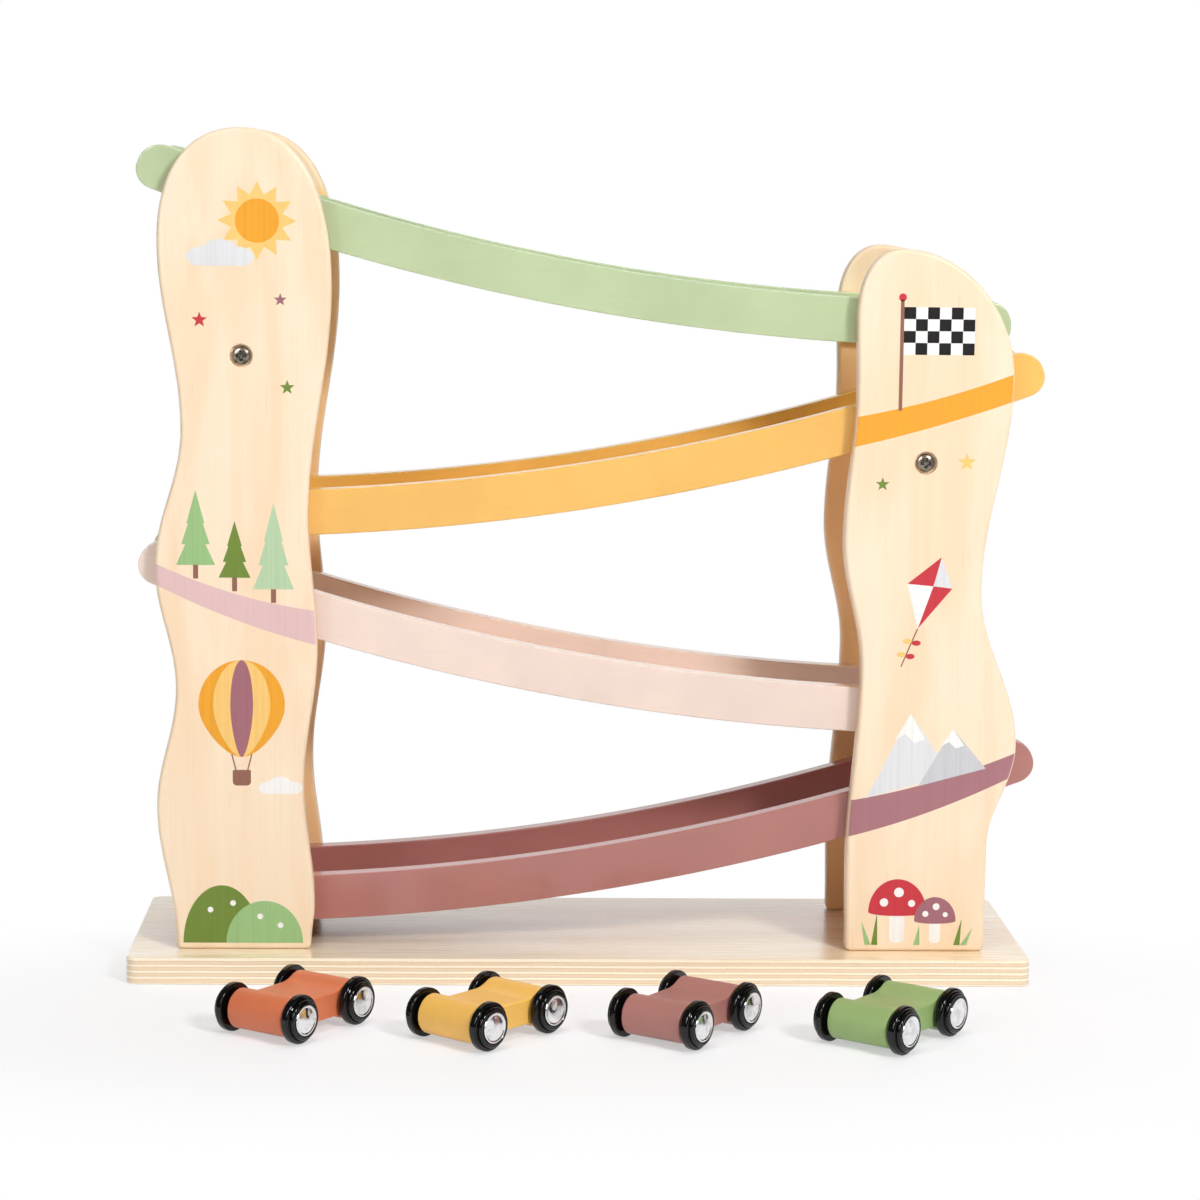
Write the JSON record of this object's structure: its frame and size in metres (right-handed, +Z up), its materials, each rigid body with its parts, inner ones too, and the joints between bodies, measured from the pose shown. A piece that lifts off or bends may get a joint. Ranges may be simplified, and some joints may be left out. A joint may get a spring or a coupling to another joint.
{
  "type": "wooden ramp racing track",
  "caption": "Wooden toy racing track: curved ramps zigzag down between two wavy towers on a base board, with small wheeled cars that run down them.",
  "frame": {"origin": "centre of the base board's underside, on the surface that the track and its cars stand on", "axes": "+X along the ramps to the lower tower, +Y from the cars to the back of the track, +Z up"},
  "size_m": [0.404, 0.2452, 0.374],
  "materials": {
    "base_birch": "satin clear lacquer",
    "birch": "satin clear lacquer",
    "green_paint": "satin paint",
    "yellow_paint": "satin paint",
    "pink_paint": "satin paint",
    "mauve_paint": "satin paint",
    "terracotta_car_paint": "satin paint",
    "mustard_car_paint": "satin paint",
    "mauve_car_paint": "satin paint",
    "green_car_paint": "satin paint",
    "black_plastic": "glossy",
    "chrome": "polished",
    "steel": "zinc plated"
  },
  "bodies": {
    "track": {"base_board": "base_birch", "left_front_panel": "birch", "left_rear_panel": "birch", "right_front_panel": "birch", "right_rear_panel": "birch", "left_cross_bar": "birch", "right_cross_bar": "birch", "left_front_screw": "steel", "left_rear_screw": "steel", "right_front_screw": "steel", "right_rear_screw": "steel", "left_front_foot_screw": "steel", "left_rear_foot_screw": "steel", "right_front_foot_screw": "steel", "right_rear_foot_screw": "steel", "mauve_ramp_front_rail": "mauve_paint", "mauve_ramp_rear_rail": "mauve_paint", "mauve_ramp_floor": "mauve_paint", "pink_ramp_front_rail": "pink_paint", "pink_ramp_rear_rail": "pink_paint", "pink_ramp_floor": "pink_paint", "pink_ramp_stop": "pink_paint", "yellow_ramp_front_rail": "yellow_paint", "yellow_ramp_rear_rail": "yellow_paint", "yellow_ramp_floor": "yellow_paint", "yellow_ramp_stop": "yellow_paint", "green_ramp_front_rail": "green_paint", "green_ramp_rear_rail": "green_paint", "green_ramp_floor": "green_paint", "green_ramp_stop": "green_paint"},
    "terracotta_car": {"terracotta_car_body": "terracotta_car_paint"},
    "terracotta_car_front_wheels": {"terracotta_car_front_axle": "chrome", "terracotta_car_front_left_wheel": "black_plastic", "terracotta_car_front_right_wheel": "black_plastic"},
    "terracotta_car_rear_wheels": {"terracotta_car_rear_axle": "chrome", "terracotta_car_rear_left_wheel": "black_plastic", "terracotta_car_rear_right_wheel": "black_plastic"},
    "mustard_car": {"mustard_car_body": "mustard_car_paint"},
    "mustard_car_front_wheels": {"mustard_car_front_axle": "chrome", "mustard_car_front_left_wheel": "black_plastic", "mustard_car_front_right_wheel": "black_plastic"},
    "mustard_car_rear_wheels": {"mustard_car_rear_axle": "chrome", "mustard_car_rear_left_wheel": "black_plastic", "mustard_car_rear_right_wheel": "black_plastic"},
    "mauve_car": {"mauve_car_body": "mauve_car_paint"},
    "mauve_car_front_wheels": {"mauve_car_front_axle": "chrome", "mauve_car_front_left_wheel": "black_plastic", "mauve_car_front_right_wheel": "black_plastic"},
    "mauve_car_rear_wheels": {"mauve_car_rear_axle": "chrome", "mauve_car_rear_left_wheel": "black_plastic", "mauve_car_rear_right_wheel": "black_plastic"},
    "green_car": {"green_car_body": "green_car_paint"},
    "green_car_front_wheels": {"green_car_front_axle": "chrome", "green_car_front_left_wheel": "black_plastic", "green_car_front_right_wheel": "black_plastic"},
    "green_car_rear_wheels": {"green_car_rear_axle": "chrome", "green_car_rear_left_wheel": "black_plastic", "green_car_rear_right_wheel": "black_plastic"}
  },
  "joints": [
    {"name": "terracotta_car_roll", "type": "slide", "parent": "track", "child": "terracotta_car", "axis": [0.585, 0.8111, 0], "range_m": [-0.12, 0.042]},
    {"name": "terracotta_car_front_turn", "type": "hinge", "parent": "terracotta_car", "child": "terracotta_car_front_wheels", "pos_m": [-0.11039, -0.11779, 0.01025], "axis": [-0.8111, 0.585, 0], "continuous": true},
    {"name": "terracotta_car_rear_turn", "type": "hinge", "parent": "terracotta_car", "child": "terracotta_car_rear_wheels", "pos_m": [-0.13261, -0.14861, 0.01025], "axis": [-0.8111, 0.585, 0], "continuous": true},
    {"name": "mustard_car_roll", "type": "slide", "parent": "track", "child": "mustard_car", "axis": [0.6665, 0.7455, 0], "range_m": [-0.12, 0.06]},
    {"name": "mustard_car_front_turn", "type": "hinge", "parent": "mustard_car", "child": "mustard_car_front_wheels", "pos_m": [-0.02864, -0.12964, 0.01025], "axis": [-0.7455, 0.6665, 0], "continuous": true},
    {"name": "mustard_car_rear_turn", "type": "hinge", "parent": "mustard_car", "child": "mustard_car_rear_wheels", "pos_m": [-0.05396, -0.15796, 0.01025], "axis": [-0.7455, 0.6665, 0], "continuous": true},
    {"name": "mauve_car_roll", "type": "slide", "parent": "track", "child": "mauve_car", "axis": [0.5892, 0.808, 0], "range_m": [-0.12, 0.052]},
    {"name": "mauve_car_front_turn", "type": "hinge", "parent": "mauve_car", "child": "mauve_car_front_wheels", "pos_m": [0.05269, -0.12595, 0.01025], "axis": [-0.808, 0.5892, 0], "continuous": true},
    {"name": "mauve_car_rear_turn", "type": "hinge", "parent": "mauve_car", "child": "mauve_car_rear_wheels", "pos_m": [0.0303, -0.15665, 0.01025], "axis": [-0.808, 0.5892, 0], "continuous": true},
    {"name": "green_car_roll", "type": "slide", "parent": "track", "child": "green_car", "axis": [0.6266, 0.7793, 0], "range_m": [-0.12, 0.063]},
    {"name": "green_car_front_turn", "type": "hinge", "parent": "green_car", "child": "green_car_front_wheels", "pos_m": [0.13881, -0.13369, 0.01025], "axis": [-0.7793, 0.6266, 0], "continuous": true},
    {"name": "green_car_rear_turn", "type": "hinge", "parent": "green_car", "child": "green_car_rear_wheels", "pos_m": [0.11499, -0.16331, 0.01025], "axis": [-0.7793, 0.6266, 0], "continuous": true}
  ],
  "couplings": [
    {"joint": "terracotta_car_front_turn", "follows": "terracotta_car_roll", "rad_per_m": 97.561},
    {"joint": "terracotta_car_rear_turn", "follows": "terracotta_car_roll", "rad_per_m": 97.561},
    {"joint": "mustard_car_front_turn", "follows": "mustard_car_roll", "rad_per_m": 97.561},
    {"joint": "mustard_car_rear_turn", "follows": "mustard_car_roll", "rad_per_m": 97.561},
    {"joint": "mauve_car_front_turn", "follows": "mauve_car_roll", "rad_per_m": 97.561},
    {"joint": "mauve_car_rear_turn", "follows": "mauve_car_roll", "rad_per_m": 97.561},
    {"joint": "green_car_front_turn", "follows": "green_car_roll", "rad_per_m": 97.561},
    {"joint": "green_car_rear_turn", "follows": "green_car_roll", "rad_per_m": 97.561}
  ]
}
